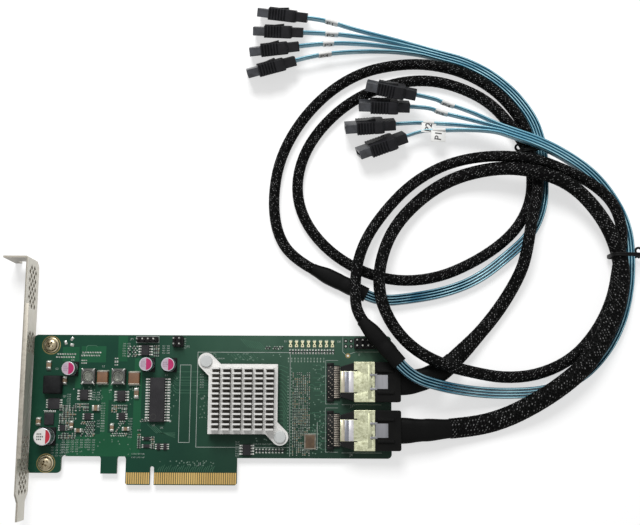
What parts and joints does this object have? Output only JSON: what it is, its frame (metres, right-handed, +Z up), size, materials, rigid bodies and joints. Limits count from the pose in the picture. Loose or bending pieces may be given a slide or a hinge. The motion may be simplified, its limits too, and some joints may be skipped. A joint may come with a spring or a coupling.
{
  "type": "host bus adapter",
  "caption": "Storage host bus adapter card with a slotted bracket, finned heat sink and internal ports, with breakout cables to drive plugs laid in coils on the table.",
  "frame": {"origin": "middle of the card's own box, without the cables, on the table", "axes": "+X along the card from the bracket to the ports, +Y from the edge contacts to the board's top edge, +Z up from the table out of the component side"},
  "size_m": [0.3036, 0.2485, 0.0216],
  "materials": {
    "board_laminate": "semi-gloss solder mask",
    "gold_plate": "gold plated",
    "bracket_steel": "zinc plated",
    "screw_steel": "nickel plated",
    "sink_aluminium": "satin",
    "push_pin_plastic": "matt",
    "pad_grey": "matt",
    "chip_black": "matt",
    "port_black": "matt",
    "cage_tin": "tin plated",
    "lead_tin": "tin plated",
    "can_aluminium": "satin",
    "base_black": "matt",
    "choke_black": "matt",
    "ferrite_grey": "matt",
    "ceramic_tan": "satin",
    "resistor_black": "satin",
    "oscillator_ceramic": "satin",
    "oscillator_metal": "plated",
    "lamp_resin": "clear gloss",
    "header_black": "matt",
    "plug_black": "matt",
    "latch_steel": "satin",
    "shrink_black": "satin",
    "braid_black": "braided, black with white flecks",
    "ribbon_blue": "gloss",
    "drive_plug_black": "matt",
    "tie_black": "matt"
  },
  "bodies": {
    "root": {"circuit_board": "board_laminate", "edge_contacts": "gold_plate", "wide_header_pins": "gold_plate", "small_header_pins": "gold_plate", "mounting_bracket": "bracket_steel", "bracket_screws": "screw_steel", "heat_sink": "sink_aluminium", "sink_push_pins": "push_pin_plastic", "thermal_pad": "pad_grey", "controller_chip": "chip_black", "memory_chip": "chip_black", "small_chips": "chip_black", "power_packages": "chip_black", "port_housing_upper": "port_black", "port_housing_lower": "port_black", "port_cage_upper": "cage_tin", "port_cage_lower": "cage_tin", "port_terminals": "lead_tin", "capacitor_cans": "can_aluminium", "capacitor_bases": "base_black", "filter_choke": "choke_black", "inductor_frames": "ferrite_grey", "inductor_cores": "ferrite_grey", "ceramic_capacitors": "ceramic_tan", "chip_capacitors": "ceramic_tan", "chip_resistors": "resistor_black", "oscillator_case": "oscillator_ceramic", "oscillator_lid": "oscillator_metal", "status_lamps": "lamp_resin", "wide_header": "header_black", "small_headers": "header_black", "port_plug_upper": "plug_black", "port_plug_lower": "plug_black", "plug_latch_upper": "latch_steel", "plug_latch_lower": "latch_steel", "drive_latches_upper": "latch_steel", "drive_latches_lower": "latch_steel", "plug_boot_upper": "shrink_black", "breakout_boot_upper": "shrink_black", "plug_boot_lower": "shrink_black", "breakout_boot_lower": "shrink_black", "braided_sleeve_upper": "braid_black", "braided_sleeve_lower": "braid_black", "drive_leads_upper": "ribbon_blue", "drive_leads_lower": "ribbon_blue", "drive_plug_upper_1": "drive_plug_black", "drive_plug_upper_2": "drive_plug_black", "drive_plug_upper_3": "drive_plug_black", "drive_plug_upper_4": "drive_plug_black", "drive_plug_lower_1": "drive_plug_black", "drive_plug_lower_2": "drive_plug_black", "drive_plug_lower_3": "drive_plug_black", "drive_plug_lower_4": "drive_plug_black", "cable_tie_upper": "tie_black", "cable_tie_lower": "tie_black"}
  },
  "joints": []
}
